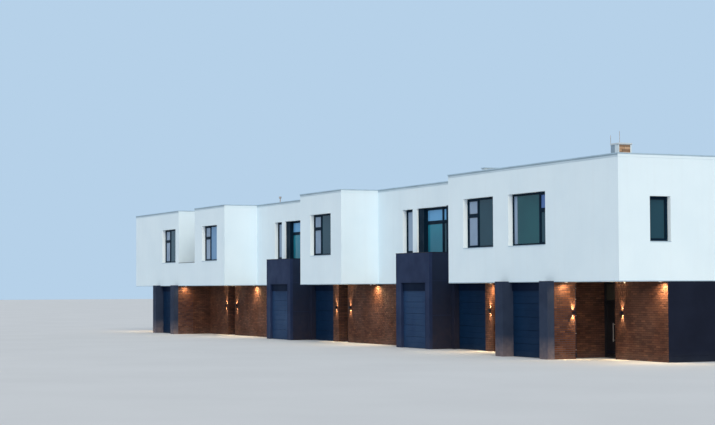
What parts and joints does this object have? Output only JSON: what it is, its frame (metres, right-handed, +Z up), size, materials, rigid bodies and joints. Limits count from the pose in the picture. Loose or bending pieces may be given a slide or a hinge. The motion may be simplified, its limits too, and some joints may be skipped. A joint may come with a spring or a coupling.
{
  "type": "terraced house row, scale model at 1:2",
  "caption": "Two-storey terraced house row with projecting white boxes over brick walls, garages, balconies and an entrance door that opens.",
  "frame": {"origin": "bottom centre of the bounding box, on the ground", "axes": "+X along the row to its near end, -Y to the street, +Z up"},
  "size_m": [27.174, 5.402, 4.17],
  "materials": {
    "render": "smooth white thin-coat render",
    "brick": "dark brown clinker brick in thin courses",
    "plaster": "smooth charcoal plaster",
    "bay": "matt navy and charcoal sheet cladding",
    "garage_door": "satin navy sectional panels",
    "joinery": "satin anthracite frames and doors",
    "glass": "clear blue-green glass",
    "steel": "brushed stainless steel",
    "coping": "light grey folded metal sheet",
    "dark_coping": "charcoal folded metal sheet",
    "concrete": "plain concrete",
    "lens": "lit warm white lens"
  },
  "bodies": {
    "building": {"ground_slab": "concrete", "front_floor_strips": "concrete", "garage_floors": "concrete", "upper_floor": "render", "upper_floor_boxes": "render", "roof_slab": "concrete", "roof_slab_boxes": "concrete", "ground_end_walls": "plaster", "ground_rear_wall": "plaster", "inner_front_walls": "plaster", "brick_front_walls": "brick", "porch_returns": "brick", "garage_piers": "plaster", "garage_side_walls": "brick", "bay_front_1": "bay", "bay_front_2": "bay", "bay_sides": "bay", "bay_floors": "bay", "garage_door_1": "garage_door", "garage_door_2": "garage_door", "garage_door_3": "garage_door", "garage_door_4": "garage_door", "garage_door_5": "garage_door", "garage_door_6": "garage_door", "garage_fascias": "bay", "entrance_frames": "joinery", "entrance_doors_fixed": "joinery", "fixed_handles": "steel", "hinge_pins": "steel", "transom_glass": "glass", "box_front_wall_1": "render", "box_front_wall_2": "render", "box_front_wall_3": "render", "box_front_wall_4": "render", "recess_wall_1": "render", "recess_wall_2": "render", "return_walls": "render", "terrace_walls": "render", "terrace_parapet": "render", "white_end_walls": "render", "upper_rear_wall": "render", "parapet_coping": "coping", "low_copings": "dark_coping", "window_sills": "coping", "front_window_frames": "joinery", "recess_window_frames": "joinery", "end_window_frames": "joinery", "rear_window_frames": "joinery", "window_glass": "glass", "rear_glass": "glass", "wall_lamps": "joinery", "soffit_spots": "lens", "chimney": "render", "chimney_cap": "coping", "lightning_rods": "steel", "roof_upstand": "render", "roof_vent": "steel"},
    "near_door_leaf": {"entrance_door": "joinery", "pull_handle": "steel", "door_hinges": "steel"}
  },
  "joints": [
    {"name": "near_door_hinge", "type": "hinge", "parent": "building", "child": "near_door_leaf", "pos_m": [11.1375, -1.211, 0.55], "axis": [0, 0, 1], "range_deg": [0, 90]}
  ]
}
